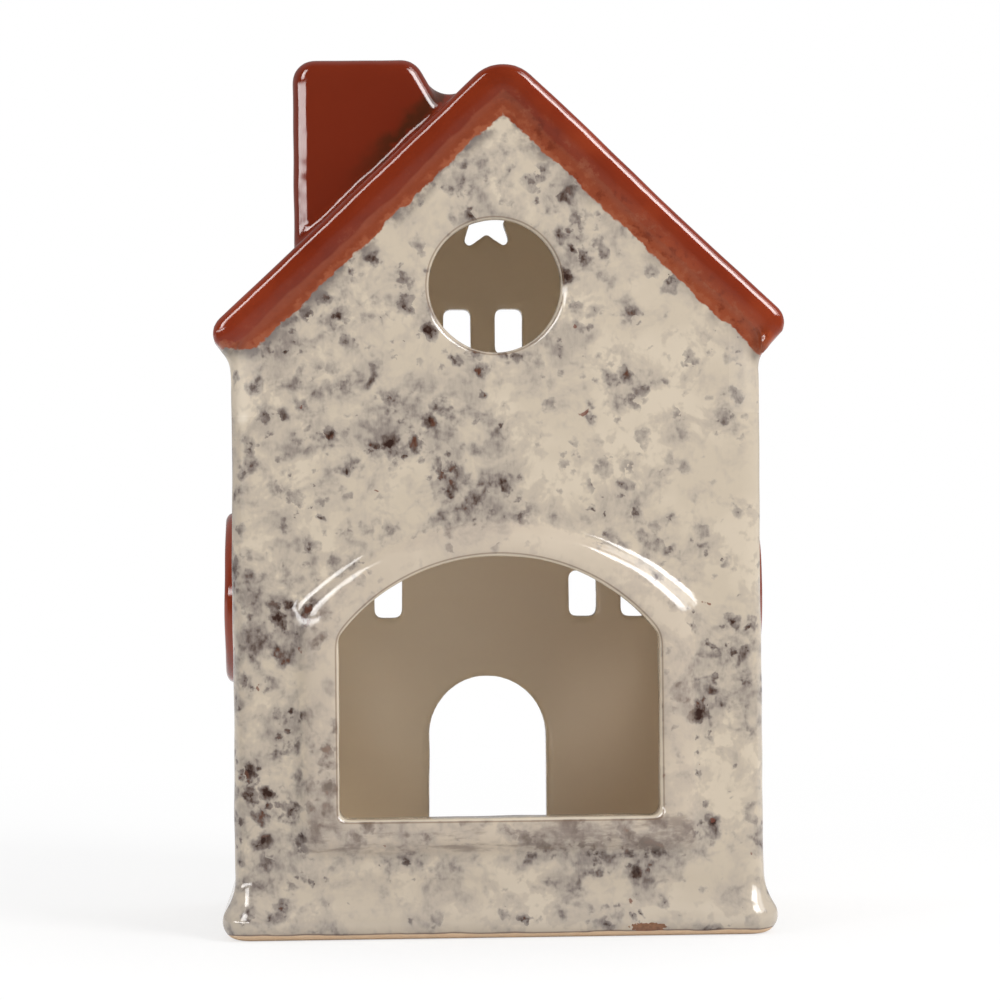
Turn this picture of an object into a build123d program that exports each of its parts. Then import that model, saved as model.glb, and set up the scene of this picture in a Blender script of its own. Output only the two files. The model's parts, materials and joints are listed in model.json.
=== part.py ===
from build123d import *
import os
from math import atan2, cos, degrees, hypot, pi, sin

os.makedirs("parts", exist_ok=True)

# A glazed clay tealight house. It stands on z = 0 with its middle over the origin.
# The candle side, with the large arched opening, faces -Y. The street side, with the
# door and the window pairs, faces +Y. Left and right are as seen from the candle side.

# Walls. The left eave is the lower one, and the gable's top stands right of the middle.
house_width = 118.0
house_depth = 88.0
wall_thickness = 5.0
wall_corner_radius = 4.0
eave_height = 131.9
eave_difference = 2.8
gable_rise = 57.3
ridge_offset = 2.2

# Foot and floor
foot_height = 14.0
foot_flare = 3.1
foot_rim_radius = 4.1
foot_roll_depth = 2.0
floor_thickness = 5.0

# Roof
roof_thickness = 6.2
left_eave_drop = 2.7
right_eave_drop = 5.9
verge_overhang = 2.8
verge_radius = 2.2
eave_radius = 4.6
ridge_radius = 8.8

# Chimney, with places counted left of the middle and its rise from the flank's foot
chimney_left = 44.7
chimney_shoulder = 17.2
chimney_flank_foot = 10.8
chimney_rise = 11.1
chimney_depth = 26.0
chimney_setback = 8.0
chimney_left_radius = 4.9
chimney_shoulder_radius = 5.5
chimney_edge_radius = 3.2
flue_wall = 5.2
flue_corner_radius = 3.0

# Candle opening, an arch on straight jambs
candle_opening_width = 71.3
candle_sill_height = 26.8
candle_spring_height = 67.3
candle_crown_height = 85.1
candle_corner_radius = 2.2

# Raised surround of the candle opening
surround_side_width = 8.1
surround_crown_width = 6.7
surround_shoulder_rise = 6.0
surround_sill_width = 6.8
surround_proud = 3.5
surround_shoulder_radius = 3.0
surround_outer_edge_radius = 2.4
surround_inner_edge_radius = 0.9
sill_return_height = 4.0

# Round hole high in the candle side, placed from the left eave
gable_hole_radius = 14.7
gable_hole_rise = 13.2
gable_hole_edge_radius = 1.2

# Street door and its surround
door_width = 28.5
door_sill_height = 16.0
door_spring_height = 40.2
door_surround_width = 7.0
relief_proud = 2.5
relief_edge_radius = 1.3

# Street windows, in pairs, each pair in a raised surround. The upper pair is placed
# from the left eave.
pane_width = 6.7
pane_height = 11.0
pane_corner_radius = 1.5
pane_spacing = 12.6
window_pair_offset = 30.1
lower_window_height = 74.4
upper_window_rise = 6.5
window_border_side = 5.4
window_border_top = 4.9
window_frame_side = 5.2
window_frame_top = 8.0
window_frame_radius = 10.0

# Star cut through the street gable, below the gable's top
star_radius = 11.0
star_drop = 22.8
star_offset = 0.95
star_inner_share = 0.382
star_tip_radius = 1.2
star_points = 5

# Round windows in the side walls
side_window_radius = 12.75
side_window_height = 75.2
side_ring_width = 7.0
side_ring_proud = 2.7
side_ring_outer_edge_radius = 2.0
side_ring_inner_edge_radius = 1.0

# Tealight
tealight_radius = 19.2
tealight_height = 15.0
tealight_setback = 12.0
cup_thickness = 0.3
cup_rim_radius = 0.5
cup_bottom_radius = 1.2
wax_height = 12.4
wax_edge_radius = 0.8
wick_radius = 0.7
wick_proud = 3.8
tab_radius = 6.5
tab_thickness = 0.3
tab_neck_radius = 1.3
tab_neck_height = 3.0

# Every cut runs this far past the piece that it cuts
overrun = 10.0

# Points closer than this are the same point
same_place = 0.001

# Sizes that follow from those above
half_width = house_width / 2
half_depth = house_depth / 2
inner_half_width = half_width - wall_thickness
inner_half_depth = half_depth - wall_thickness
right_eave_height = eave_height + eave_difference
gable_height = eave_height + gable_rise
gable_hole_height = eave_height + gable_hole_rise
upper_window_height = eave_height + upper_window_rise
star_height = gable_height - star_drop
left_eave = Vector(-half_width, eave_height)
right_eave = Vector(half_width, right_eave_height)
left_eave_foot = left_eave - Vector(0, left_eave_drop)
right_eave_foot = right_eave - Vector(0, right_eave_drop)
gable_top = Vector(ridge_offset, gable_height)
underside_corners = [left_eave_foot, left_eave, gable_top, right_eave, right_eave_foot]
left_slope = (gable_top - left_eave).normalized()
right_slope = (right_eave - gable_top).normalized()
left_normal = Vector(-left_slope.Y, left_slope.X)
right_normal = Vector(-right_slope.Y, right_slope.X)
ridge_mitre = (left_normal + right_normal) / (1 + left_normal.dot(right_normal))
ridge_top = gable_top + ridge_mitre * roof_thickness
left_rise = left_slope.Y / left_slope.X
right_rise = right_slope.Y / right_slope.X
cup_inner_radius = tealight_radius - cup_rim_radius - cup_thickness
cup_outer_radius = tealight_radius - cup_rim_radius


def across(outline, y_low, y_high):
    """Return the outline, drawn across the house, as a slab from y_low to y_high."""
    return extrude(Plane.XZ.offset(-y_high) * outline, y_high - y_low)


def along(outline, x_low, x_high):
    """Return the outline, drawn along the house, as a slab from x_low to x_high."""
    return extrude(Plane.YZ.offset(x_low) * outline, x_high - x_low)


def closed_outline(*points):
    """Return the face inside straight lines through the points."""
    return make_face(Polyline(*points, close=True))


def rounded_at(outline, point, radius):
    """Return the outline with the corner nearest to the point rounded."""
    corner = outline.vertices().sort_by_distance(Vertex(point.X, point.Y, 0))[0]
    return fillet(corner, radius)


def arched_outline(width, bottom, spring, crown):
    """Return an opening with straight jambs under an arch through its crown."""
    half = width / 2
    sides = Polyline((-half, spring), (-half, bottom), (half, bottom), (half, spring))
    arch = ThreePointArc((half, spring), (0, crown), (-half, spring))
    return make_face(Curve() + [sides, arch])


def candle_opening():
    """Return the outline of the opening that the tealight goes through."""
    outline = arched_outline(candle_opening_width, candle_sill_height,
                             candle_spring_height, candle_crown_height)
    for side in (-1, 1):
        for height in (candle_sill_height, candle_spring_height):
            corner = Vector(side * candle_opening_width / 2, height)
            outline = rounded_at(outline, corner, candle_corner_radius)
    return outline


def door_opening(margin):
    """Return the outline of the door, or of its surround when there is a margin."""
    radius = door_width / 2 + margin
    return arched_outline(radius * 2, door_sill_height, door_spring_height,
                          door_spring_height + radius)


def window_pair(middle_x, middle_z):
    """Return the outlines of two panes side by side."""
    pane = RectangleRounded(pane_width, pane_height, pane_corner_radius)
    pair = Sketch()
    for side in (-1, 1):
        pair += Pos(middle_x + side * pane_spacing / 2, middle_z) * pane
    return pair


def star():
    """Return the outline of the star, with its tips rounded."""
    points = []
    for step in range(star_points * 2):
        radius = star_radius if step % 2 == 0 else star_radius * star_inner_share
        angle = pi / 2 + pi * step / star_points
        points.append(Vector(radius * cos(angle), radius * sin(angle)))
    outline = closed_outline(*points)
    for tip in points[::2]:
        outline = rounded_at(outline, tip, star_tip_radius)
    return Pos(star_offset, star_height) * outline


def gable_slab(y_low, y_high):
    """Return a plain gable wall, from the foot to the underside of the roof."""
    outline = closed_outline((-half_width, foot_height), (half_width, foot_height),
                             right_eave, gable_top, left_eave)
    return across(outline, y_low, y_high)


def with_rounded_corners(wall, face_y):
    """Return the gable wall with its two upright outer corners rounded."""
    corners = wall.edges().filter_by(Axis.Z).filter_by_position(Axis.Y, face_y, face_y)
    return fillet(corners, wall_corner_radius)


def candle_side_wall():
    wall = with_rounded_corners(gable_slab(-half_depth, -inner_half_depth), -half_depth)
    hole = Pos(0, gable_hole_height) * Circle(gable_hole_radius)
    wall -= across(candle_opening(), -half_depth - overrun, overrun - inner_half_depth)
    wall -= across(hole, -half_depth - overrun, overrun - inner_half_depth)
    rims = wall.edges().filter_by(GeomType.CIRCLE).filter_by(
        lambda edge: abs(edge.radius - gable_hole_radius) < gable_hole_edge_radius)
    return fillet(rims, gable_hole_edge_radius)


def street_side_wall():
    wall = with_rounded_corners(gable_slab(inner_half_depth, half_depth), half_depth)
    cuts = [door_opening(0), star(), window_pair(0, upper_window_height)]
    for side in (-1, 1):
        cuts.append(window_pair(side * window_pair_offset, lower_window_height))
    for cut in cuts:
        wall -= across(cut, inner_half_depth - overrun, half_depth + overrun)
    return wall


def side_wall(side, outer_top, rise):
    """Return a side wall. Its top follows the slope of the roof's underside."""
    outer = side * half_width
    inner = side * inner_half_width
    inner_top = outer_top + wall_thickness * rise
    outline = closed_outline((outer, foot_height), (inner, foot_height),
                             (inner, inner_top), (outer, outer_top))
    wall = across(outline, -inner_half_depth, inner_half_depth)
    window = Pos(0, side_window_height) * Circle(side_window_radius)
    return wall - along(window, -half_width - overrun, half_width + overrun)


def side_window_ring(side):
    """Return the raised ring round a side wall's window."""
    outline = Circle(side_window_radius + side_ring_width) - Circle(side_window_radius)
    low, high = sorted((side * half_width, side * (half_width + side_ring_proud)))
    ring = along(Pos(0, side_window_height) * outline, low, high)
    front = ring.faces().sort_by(Axis.X)[0 if side < 0 else -1]
    ring = fillet(front.outer_wire().edges(), side_ring_outer_edge_radius)
    front = ring.faces().sort_by(Axis.X)[0 if side < 0 else -1]
    return fillet(front.inner_wires()[0].edges(), side_ring_inner_edge_radius)


def foot_profile():
    """Return the foot's section: a round rim that sweeps up into the wall's face."""
    rim_middle = Vector(foot_flare - foot_rim_radius, foot_rim_radius)
    rise = foot_height - foot_rim_radius
    turn = 2 * atan2(foot_flare, rise)
    cove_radius = rise / sin(turn) - foot_rim_radius
    joint = rim_middle + Vector(cos(turn), sin(turn)) * foot_rim_radius
    cove_middle = Vector(cove_radius, foot_height)
    cove_point = cove_middle - Vector(cos(turn / 2), sin(turn / 2)) * cove_radius
    rim_point = rim_middle + Vector(foot_rim_radius, 0)
    bottom = Vector(rim_middle.X, 0)
    rim = ThreePointArc(bottom, rim_point, joint)
    cove = ThreePointArc(joint, cove_point, (0, foot_height))
    back = Polyline((0, foot_height), (-foot_roll_depth, foot_height),
                    (-foot_roll_depth, 0), bottom)
    return make_face(Curve() + [rim, cove, back])


def foot_ring():
    """Return the foot: a ring under the walls with the flared roll round it."""
    plan = RectangleRounded(house_width, house_depth, wall_corner_radius)
    start = Plane(origin=(0, -half_depth, 0), x_dir=(0, -1, 0), z_dir=(-1, 0, 0))
    roll = sweep(start * foot_profile(), path=plan.face().outer_wire())
    core = RectangleRounded(house_width - 2 * foot_roll_depth,
                            house_depth - 2 * foot_roll_depth,
                            wall_corner_radius - foot_roll_depth)
    room = Rectangle(2 * inner_half_width, 2 * inner_half_depth)
    return roll + extrude(core - room, foot_height)


def floor_slab():
    return extrude(Rectangle(2 * inner_half_width, 2 * inner_half_depth), floor_thickness)


def is_underside_corner(place):
    """Say whether a place, seen along the house, is a corner of the roof's underside."""
    return any((place - corner).length < same_place for corner in underside_corners)


def runs_along_underside(edge):
    """Say whether an edge joins two corners of the roof's underside."""
    return all(is_underside_corner(Vector(end.X, end.Z)) for end in edge.vertices())


def roof_band():
    """Return both roof slabs as one bent band, with the ridge and the edges rounded.

    At each eave its end runs square to the slope, down to the wall's face.
    """
    left_end = roof_thickness + left_eave_drop * left_normal.Y
    right_end = roof_thickness + right_eave_drop * right_normal.Y
    left_tip = left_eave_foot + left_normal * left_end
    right_tip = right_eave_foot + right_normal * right_end
    outline = closed_outline(left_eave, left_eave_foot, left_tip, ridge_top,
                             right_tip, right_eave_foot, right_eave, gable_top)
    outline = rounded_at(outline, ridge_top, ridge_radius)
    outline = rounded_at(outline, left_tip, eave_radius)
    outline = rounded_at(outline, right_tip, eave_radius)
    verge = half_depth + verge_overhang
    band = across(outline, -verge, verge)
    ends = band.faces().sort_by(Axis.Y)
    rims = ends[0].edges() + ends[-1].edges()
    return fillet([rim for rim in rims if not runs_along_underside(rim)], verge_radius)


def roof_slab(side):
    """Return one roof slab, mitred at the ridge."""
    mitre = Plane(origin=(gable_top.X, 0, gable_top.Y), x_dir=(0, 1, 0),
                  z_dir=(-ridge_mitre.Y, 0, ridge_mitre.X))
    return split(roof_band(), bisect_by=mitre, keep=Keep.TOP if side < 0 else Keep.BOTTOM)


def roof_top_height(x):
    """Return the height of the left slope's top face."""
    return ridge_top.Y - (ridge_top.X - x) * left_rise


def chimney_height():
    """Return the height of the chimney's top."""
    return roof_top_height(-chimney_flank_foot) + chimney_rise


def chimney_front():
    """Return the place of the chimney's front face."""
    return chimney_setback - half_depth


def flue():
    """Return the flue, which runs down through the chimney and the left roof slab."""
    width = chimney_left - chimney_shoulder - 2 * flue_wall
    depth = chimney_depth - 2 * flue_wall
    middle = Pos(-(chimney_left + chimney_shoulder) / 2, chimney_front() + chimney_depth / 2)
    outline = middle * RectangleRounded(width, depth, flue_corner_radius)
    bottom = Pos(0, 0, eave_height)
    return extrude(bottom * outline, chimney_height() - eave_height + overrun)


def left_roof_slab():
    return roof_slab(-1) - flue()


def right_roof_slab():
    return roof_slab(1)


def chimney():
    """Return the chimney, cut to the slope that it stands on."""
    top_left = Vector(-chimney_left, chimney_height())
    shoulder = Vector(-chimney_shoulder, chimney_height())
    outline = closed_outline((-chimney_left, roof_top_height(-chimney_left)), top_left,
                             shoulder, (-chimney_flank_foot, roof_top_height(-chimney_flank_foot)))
    outline = rounded_at(outline, top_left, chimney_left_radius)
    outline = rounded_at(outline, shoulder, chimney_shoulder_radius)
    block = across(outline, chimney_front(), chimney_front() + chimney_depth)
    slope = Plane(origin=(ridge_top.X, 0, ridge_top.Y), z_dir=(left_normal.X, 0, left_normal.Y))
    ends = block.faces().sort_by(Axis.Y)
    rims = [edge for edge in ends[0].edges() + ends[-1].edges()
            if abs(slope.to_local_coords(edge @ 0.5).Z) > chimney_edge_radius]
    return fillet(rims, chimney_edge_radius) - flue()


def candle_surround():
    """Return the raised frame round the candle opening, before it is parted in two."""
    outer = arched_outline(candle_opening_width + 2 * surround_side_width,
                           candle_sill_height - surround_sill_width,
                           candle_spring_height + surround_shoulder_rise,
                           candle_crown_height + surround_crown_width)
    half = candle_opening_width / 2 + surround_side_width
    for side in (-1, 1):
        shoulder = Vector(side * half, candle_spring_height + surround_shoulder_rise)
        outer = rounded_at(outer, shoulder, surround_shoulder_radius)
        foot = Vector(side * half, candle_sill_height - surround_sill_width)
        outer = rounded_at(outer, foot, surround_shoulder_radius)
    frame = across(outer - candle_opening(), -half_depth - surround_proud, -half_depth)
    front = frame.faces().sort_by(Axis.Y)[0]
    frame = fillet(front.outer_wire().edges(), surround_outer_edge_radius)
    front = frame.faces().sort_by(Axis.Y)[0]
    return fillet(front.inner_wires()[0].edges(), surround_inner_edge_radius)


def surround_joint():
    """Return the level plane where the arch piece stands on the sill piece."""
    return Plane.XY.offset(candle_sill_height + sill_return_height)


def candle_opening_arch():
    return split(candle_surround(), bisect_by=surround_joint(), keep=Keep.TOP)


def candle_opening_sill():
    return split(candle_surround(), bisect_by=surround_joint(), keep=Keep.BOTTOM)


def street_relief(outline):
    """Return a raised band on the street side's face, with its edges softened."""
    band = across(outline, half_depth, half_depth + relief_proud)
    front = band.faces().sort_by(Axis.Y)[-1]
    return fillet(front.edges(), relief_edge_radius)


def door_surround():
    return street_relief(door_opening(door_surround_width) - door_opening(0))


def window_surround(middle_x, middle_z):
    """Return the raised frame round a pair of panes."""
    inner_width = pane_spacing + pane_width + 2 * window_border_side
    inner_height = pane_height + 2 * window_border_top
    outer = RectangleRounded(inner_width + 2 * window_frame_side,
                             inner_height + 2 * window_frame_top, window_frame_radius)
    inner = RectangleRounded(inner_width, inner_height, window_frame_radius - window_frame_side)
    return street_relief(Pos(middle_x, middle_z) * (outer - inner))


def on_the_floor(piece):
    """Return the piece where the tealight stands."""
    return Pos(0, tealight_setback, floor_thickness) * piece


def turned(outline):
    """Return the outline turned about the tealight's axis."""
    return revolve(Plane.XZ * outline, Axis.Z)


def tealight_cup():
    """Return the thin cup, with its rolled rim."""
    outside = Rectangle(cup_outer_radius, tealight_height - cup_rim_radius,
                        align=(Align.MIN, Align.MIN))
    outside = rounded_at(outside, Vector(cup_outer_radius, 0), cup_bottom_radius)
    inside = Pos(0, cup_thickness) * Rectangle(cup_inner_radius, tealight_height,
                                               align=(Align.MIN, Align.MIN))
    inside = rounded_at(inside, Vector(cup_inner_radius, cup_thickness),
                        cup_bottom_radius - cup_thickness)
    rim = Pos(cup_outer_radius, tealight_height - cup_rim_radius) * Circle(cup_rim_radius)
    return on_the_floor(turned(outside - inside + (rim - inside)))


def tealight_wax():
    """Return the wax, cast round the wick and its tab."""
    outline = Pos(0, cup_thickness) * Rectangle(cup_inner_radius, wax_height,
                                                align=(Align.MIN, Align.MIN))
    outline = rounded_at(outline, Vector(cup_inner_radius, cup_thickness),
                         cup_bottom_radius - cup_thickness)
    outline = rounded_at(outline, Vector(cup_inner_radius, cup_thickness + wax_height),
                         wax_edge_radius)
    return on_the_floor(turned(outline)) - tealight_wick_tab() - tealight_wick()


def tealight_wick_tab():
    """Return the metal tab that holds the wick upright on the cup's floor."""
    base = Cylinder(tab_radius, tab_thickness, align=(Align.CENTER, Align.CENTER, Align.MIN))
    neck = Cylinder(tab_neck_radius, tab_neck_height,
                    align=(Align.CENTER, Align.CENTER, Align.MIN))
    tab = Pos(0, 0, cup_thickness) * (base + neck)
    return on_the_floor(tab) - tealight_wick()


def tealight_wick():
    """Return the wick, which stands on the tab's foot inside its neck."""
    bottom = cup_thickness + tab_thickness
    length = wax_height - tab_thickness + wick_proud
    wick = Cylinder(wick_radius, length, align=(Align.CENTER, Align.CENTER, Align.MIN))
    return on_the_floor(Pos(0, 0, bottom) * wick)


pieces = {
    "floor_slab": floor_slab(),
    "foot_ring": foot_ring(),
    "candle_side_wall": candle_side_wall(),
    "street_side_wall": street_side_wall(),
    "left_side_wall": side_wall(-1, eave_height, left_rise),
    "right_side_wall": side_wall(1, right_eave_height, -right_rise),
    "left_roof_slab": left_roof_slab(),
    "right_roof_slab": right_roof_slab(),
    "chimney": chimney(),
    "candle_opening_arch": candle_opening_arch(),
    "candle_opening_sill": candle_opening_sill(),
    "door_surround": door_surround(),
    "upper_window_surround": window_surround(0, upper_window_height),
    "left_window_surround": window_surround(-window_pair_offset, lower_window_height),
    "right_window_surround": window_surround(window_pair_offset, lower_window_height),
    "left_side_window_ring": side_window_ring(-1),
    "right_side_window_ring": side_window_ring(1),
    "tealight_cup": tealight_cup(),
    "tealight_wax": tealight_wax(),
    "tealight_wick_tab": tealight_wick_tab(),
    "tealight_wick": tealight_wick(),
}

for name, piece in pieces.items():
    export_step(piece, f"parts/{name}.step")
    print(name, round(piece.volume, 1))
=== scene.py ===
import json
from functools import reduce
from math import cos, pi, radians, sin

import bmesh
import bpy
import numpy as np
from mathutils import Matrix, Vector
from mathutils.kdtree import KDTree


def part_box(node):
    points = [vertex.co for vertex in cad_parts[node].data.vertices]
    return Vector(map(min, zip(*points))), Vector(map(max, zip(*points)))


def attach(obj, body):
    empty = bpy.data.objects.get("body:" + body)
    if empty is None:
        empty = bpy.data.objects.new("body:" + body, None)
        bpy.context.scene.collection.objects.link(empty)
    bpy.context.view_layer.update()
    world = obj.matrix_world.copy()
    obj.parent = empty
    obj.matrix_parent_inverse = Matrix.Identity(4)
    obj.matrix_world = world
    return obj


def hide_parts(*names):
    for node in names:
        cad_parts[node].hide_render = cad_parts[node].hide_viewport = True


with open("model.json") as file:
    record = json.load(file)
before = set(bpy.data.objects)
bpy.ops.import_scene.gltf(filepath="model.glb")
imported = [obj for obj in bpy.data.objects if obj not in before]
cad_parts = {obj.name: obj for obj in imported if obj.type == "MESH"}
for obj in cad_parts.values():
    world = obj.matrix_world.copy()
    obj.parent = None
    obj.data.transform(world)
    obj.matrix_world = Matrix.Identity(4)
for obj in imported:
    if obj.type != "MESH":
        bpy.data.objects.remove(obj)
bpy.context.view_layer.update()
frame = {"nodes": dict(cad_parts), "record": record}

# A glazed clay tealight house. The clay pieces become one glazed skin, which is then parted
# where the glazes change. Lengths are in metres, and in millimetres inside the materials.
MM = 0.001


# Sizes taken from the frame
def farthest(node, direction):
    """Return the node's vertex that lies farthest in a direction."""
    direction = Vector(direction)
    return max((v.co for v in frame["nodes"][node].data.vertices), key=direction.dot).copy()


wall_low, wall_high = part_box("candle_side_wall")
street_low, street_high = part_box("street_side_wall")
ring_low, ring_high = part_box("right_side_window_ring")
chimney_low, chimney_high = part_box("chimney")
arch_low, arch_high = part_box("candle_opening_arch")

half_width = wall_high.x
outer_front, inner_front = wall_low.y, wall_high.y
inner_back, outer_back = street_low.y, street_high.y
inner_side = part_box("right_side_wall")[0].x
floor_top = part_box("floor_slab")[1].z
foot_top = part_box("foot_ring")[1].z

gable_top = farthest("candle_side_wall", (0, 0, 1))
left_eave = farthest("left_side_wall", (-1, 0, 0.1))
right_eave = farthest("right_side_wall", (1, 0, 0.1))


def slope_normal(low, high):
    """Return the upward normal of a slope through two points, seen from the front."""
    run = Vector((high.x - low.x, 0, high.z - low.z)).normalized()
    return Vector((-run.z, 0, run.x))


left_normal = slope_normal(left_eave, gable_top)
right_normal = -slope_normal(right_eave, gable_top)
roof_thickness = left_normal.dot(farthest("left_roof_slab", left_normal) - gable_top)

# Outline of the candle opening: a rectangle under an arc
def at_back(node):
    """Return the places of a node's vertices that lie at the back of the arch."""
    return [v.co for v in frame["nodes"][node].data.vertices if v.co.y > arch_high.y - MM / 100]


arch_back = at_back("candle_opening_arch")
sill_back = at_back("candle_opening_sill")
opening_half = min(abs(co.x) for co in arch_back if co.z < arch_low.z + MM)
opening_sill = min(co.z for co in sill_back if abs(co.x) < opening_half - MM)
opening_crown = min(co.z for co in arch_back if abs(co.x) < MM)
arc_point = min((co for co in arch_back if abs(co.x) < opening_half * 0.7), key=lambda co: co.z)
arc_drop = opening_crown - arc_point.z
opening_arc = (arc_point.x ** 2 + arc_drop ** 2) / (2 * arc_drop)
arc_middle = opening_crown - opening_arc
surround_reach = arch_high.x - opening_half

# The round hole's middle and radius
gable_hole_middle = 145.1 * MM
gable_hole_radius = 14.7 * MM

# The skin: its fineness, and the smoothing that takes the voxels' steps away
VOXEL = 0.7 * MM
SKIN_FACES = 170000
SOFT_STEPS = 3
SOFT_SHARE = 0.5
UNSOFT_SHARE = 0.52
NORMAL_STEPS = 4

# Pooled glaze: how round it leaves the hollow corners of the roof, chimney, room and reliefs
POOL_STEPS = 150
POOL_SHARE = 0.7
POOL_RINGS = 9
NORMAL_EVERY = 8
ROOF_POOL = 3.6 * MM
CHIMNEY_POOL = 2.8 * MM
INSIDE_POOL = 4.2 * MM
RELIEF_POOL = 1.9 * MM

# The wide curve at the foot of the chimney's flank, which fades at its ends
FLANK_CURVE = 6.2 * MM
FLANK_LEAN = 6.4 * MM
FLANK_END = 5 * MM
FLANK_SLACK = 1.5 * MM

# The soft bend under the roof's edge, from and to heights above the roof's underside
JOINT_SOFT_STEPS = 42
JOINT_LOW = -7.5 * MM
JOINT_HIGH = 3.2 * MM
JOINT_FADE = 2.0 * MM

# The soft outer edge of the candle opening's surround
SURROUND_SOFT_STEPS = 46
SURROUND_CRISP = 2.0 * MM
SURROUND_FADE = 1.6 * MM

# Handmade unevenness: (strength, wavelength) of the slow and the quick waves
WAVES = ((0.28 * MM, 46 * MM), (0.10 * MM, 13 * MM))
WAVE_SEED = 1800

# Places where the skin is parted
RED_EDGE = 4.2 * MM
CHIMNEY_CUT = 1.3 * MM
RAW_EDGE = 1.25 * MM
RING_CUT = 0.6 * MM


def add_object(name, data):
    """Return a new object of the scene with that mesh, light or camera."""
    obj = bpy.data.objects.new(name, data)
    bpy.context.scene.collection.objects.link(obj)
    return obj


def as_object(name, body):
    """Return a new smooth object made of a body's faces, and free the body."""
    mesh = bpy.data.meshes.new(name)
    body.to_mesh(mesh)
    body.free()
    mesh.shade_smooth()
    return add_object(name, mesh)


def apply_modifier(obj, kind, **settings):
    """Give the object one modifier and keep its result as the mesh."""
    modifier = obj.modifiers.new(kind.lower(), kind)
    for name, value in settings.items():
        setattr(modifier, name, value)
    evaluated = obj.evaluated_get(bpy.context.evaluated_depsgraph_get())
    mesh = bpy.data.meshes.new_from_object(evaluated)
    obj.modifiers.clear()
    obj.data = mesh


def joined_nodes(names):
    """Return one object that holds copies of the CAD nodes' meshes."""
    joined = bmesh.new()
    for name in names:
        joined.from_mesh(frame["nodes"][name].data)
    bmesh.ops.remove_doubles(joined, verts=joined.verts, dist=VOXEL / 500)
    return as_object("glazed_skin", joined)


def read(collection, field, width, kind=float):
    """Return a field of mesh elements as an array, with that many numbers for each."""
    values = np.empty(len(collection) * width, kind)
    collection.foreach_get(field, values)
    return values.reshape(-1, width) if width > 1 else values


class Surface:
    """A mesh of four-sided faces as arrays, for moving its points."""

    def __init__(self, points, edges, faces):
        """Take the points, and the numbers of the edges' and faces' points."""
        self.points = points
        self.start, self.end = edges.T
        self.faces = faces
        self.count = len(points)
        self.degree = np.maximum(np.bincount(edges.ravel(), minlength=self.count), 1)

    def gather(self, from_end, from_start):
        """Return each point's sum of what its edges bring from their other ends."""
        return (np.bincount(self.start, weights=from_end, minlength=self.count)
                + np.bincount(self.end, weights=from_start, minlength=self.count))

    def around(self, values):
        """Return the mean of each point's neighbours' values."""
        near = [self.gather(axis[self.end], axis[self.start]) for axis in values.T]
        return np.stack(near, 1) / self.degree[:, None]

    def pull(self):
        """Return the way from each point to the middle of its neighbours."""
        return self.around(self.points) - self.points

    def normals(self):
        """Return the surface's normal at each point."""
        a, b, c, d = (self.points[self.faces[:, k]] for k in range(4))
        across = np.cross(c - a, d - b)
        total = np.zeros_like(self.points)
        for k in range(4):
            for axis in range(3):
                total[:, axis] += np.bincount(self.faces[:, k], weights=across[:, axis],
                                              minlength=self.count)
        return total / np.maximum(np.linalg.norm(total, axis=1), 1e-20)[:, None]

    def part(self, chosen):
        """Return the part whose faces have only chosen points, and those points' places."""
        kept = np.flatnonzero(chosen)
        place = np.full(self.count, -1)
        place[kept] = np.arange(len(kept))
        edges = place[np.stack([self.start, self.end], 1)]
        faces = place[self.faces]
        return Surface(self.points[kept], edges[(edges >= 0).all(1)],
                       faces[(faces >= 0).all(1)]), kept


def beyond(points, place, direction):
    """Return how far points lie beyond a place in a direction."""
    return (points - np.array(place)) @ np.array(direction)


def roof_level(points):
    """Return how far points lie above the roof's underside."""
    return np.maximum(beyond(points, gable_top, left_normal), beyond(points, gable_top, right_normal))


def is_inside(points):
    """Say which points lie in the room."""
    x, y, z = points.T
    return ((abs(x) < inner_side + VOXEL) & (y > inner_front - VOXEL) & (y < inner_back + VOXEL)
            & (z > floor_top - VOXEL) & (roof_level(points) < VOXEL))


def pool_radius(points):
    """Return how round the glaze that pools leaves a hollow corner at each point."""
    level = roof_level(points)
    radius = np.full(len(points), RELIEF_POOL)
    radius[level > -2 * ROOF_POOL] = ROOF_POOL
    radius[level > roof_thickness / 2] = CHIMNEY_POOL
    radius[is_inside(points)] = INSIDE_POOL
    return radius


def curve_flank(surface):
    """Let the chimney's right flank run out onto the roof in a wide curve."""
    points = surface.points
    foot = farthest("chimney", (1, 0, 0))
    flank = Vector((chimney_high.z - foot.z, 0, FLANK_LEAN)).normalized()
    across = np.minimum(points[:, 1] - chimney_low.y, chimney_high.y - points[:, 1])
    across = np.clip(across / FLANK_END, 0, 1)
    radius = FLANK_CURVE * across ** 2 * (3 - 2 * across)
    over = beyond(points, gable_top, left_normal) - roof_thickness
    off = beyond(points, foot, flank)
    lean = left_normal.dot(flank)
    up, out = over - radius, off - radius
    along_roof = (up - lean * out) / (1 - lean ** 2)
    along_flank = (out - lean * up) / (1 - lean ** 2)
    reach = np.sqrt(np.maximum(up * along_roof + out * along_flank, 0))
    near = (along_roof < 0) & (along_flank < 0) & (reach > radius) & (radius > 0)
    near &= (over > -FLANK_SLACK) & (off > -FLANK_SLACK)
    way = np.outer(along_roof, left_normal) + np.outer(along_flank, flank)
    share = (reach - radius) / np.maximum(reach, MM / 100)
    points[near] -= (share[:, None] * way)[near]


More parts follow.
